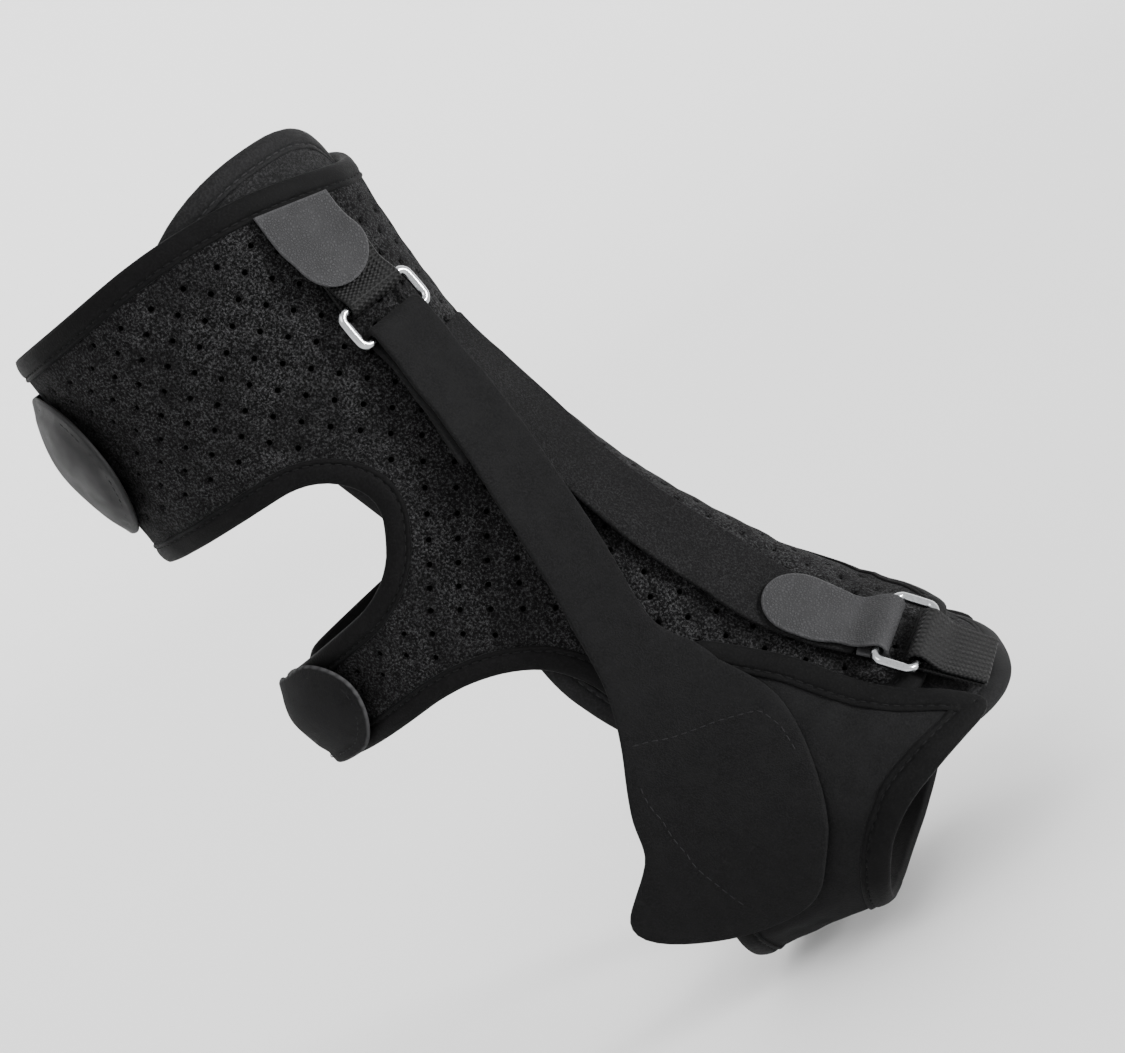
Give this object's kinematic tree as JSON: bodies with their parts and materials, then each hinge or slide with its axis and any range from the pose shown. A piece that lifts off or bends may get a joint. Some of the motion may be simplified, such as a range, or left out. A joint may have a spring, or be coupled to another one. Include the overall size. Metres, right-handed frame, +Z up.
{
  "type": "foot night splint",
  "caption": "Soft right-foot night splint: padded calf cuff, instep shell and foot wrap, with ringed side and dorsal straps that hold the foot up.",
  "frame": {"origin": "the ankle's centre, on the axis of the leg that the splint closes round", "axes": "+X forwards to the toes, +Y to the inner side of the right leg, +Z up the leg along its axis"},
  "size_m": [0.2345, 0.114, 0.2968],
  "materials": {
    "neoprene": "matt perforated foam laminate",
    "tape": "matt woven tape",
    "lining": "matt brushed knit",
    "velvet": "matt short pile",
    "webbing": "matt woven",
    "hook": "matt hook tape",
    "wire": "polished"
  },
  "bodies": {
    "root": {"dorsal_pad": "lining", "pad_binding": "tape", "shell": "neoprene", "shell_binding": "tape", "foot_wrap": "neoprene", "wrap_binding": "tape", "calf_tab": "webbing", "ankle_tab": "webbing", "upper_webbing": "webbing", "upper_ring": "wire", "toe_webbing": "webbing", "toe_ring": "wire", "upper_tab": "hook", "side_strap": "velvet", "dorsal_strap": "velvet", "toe_tab": "hook"}
  },
  "joints": []
}
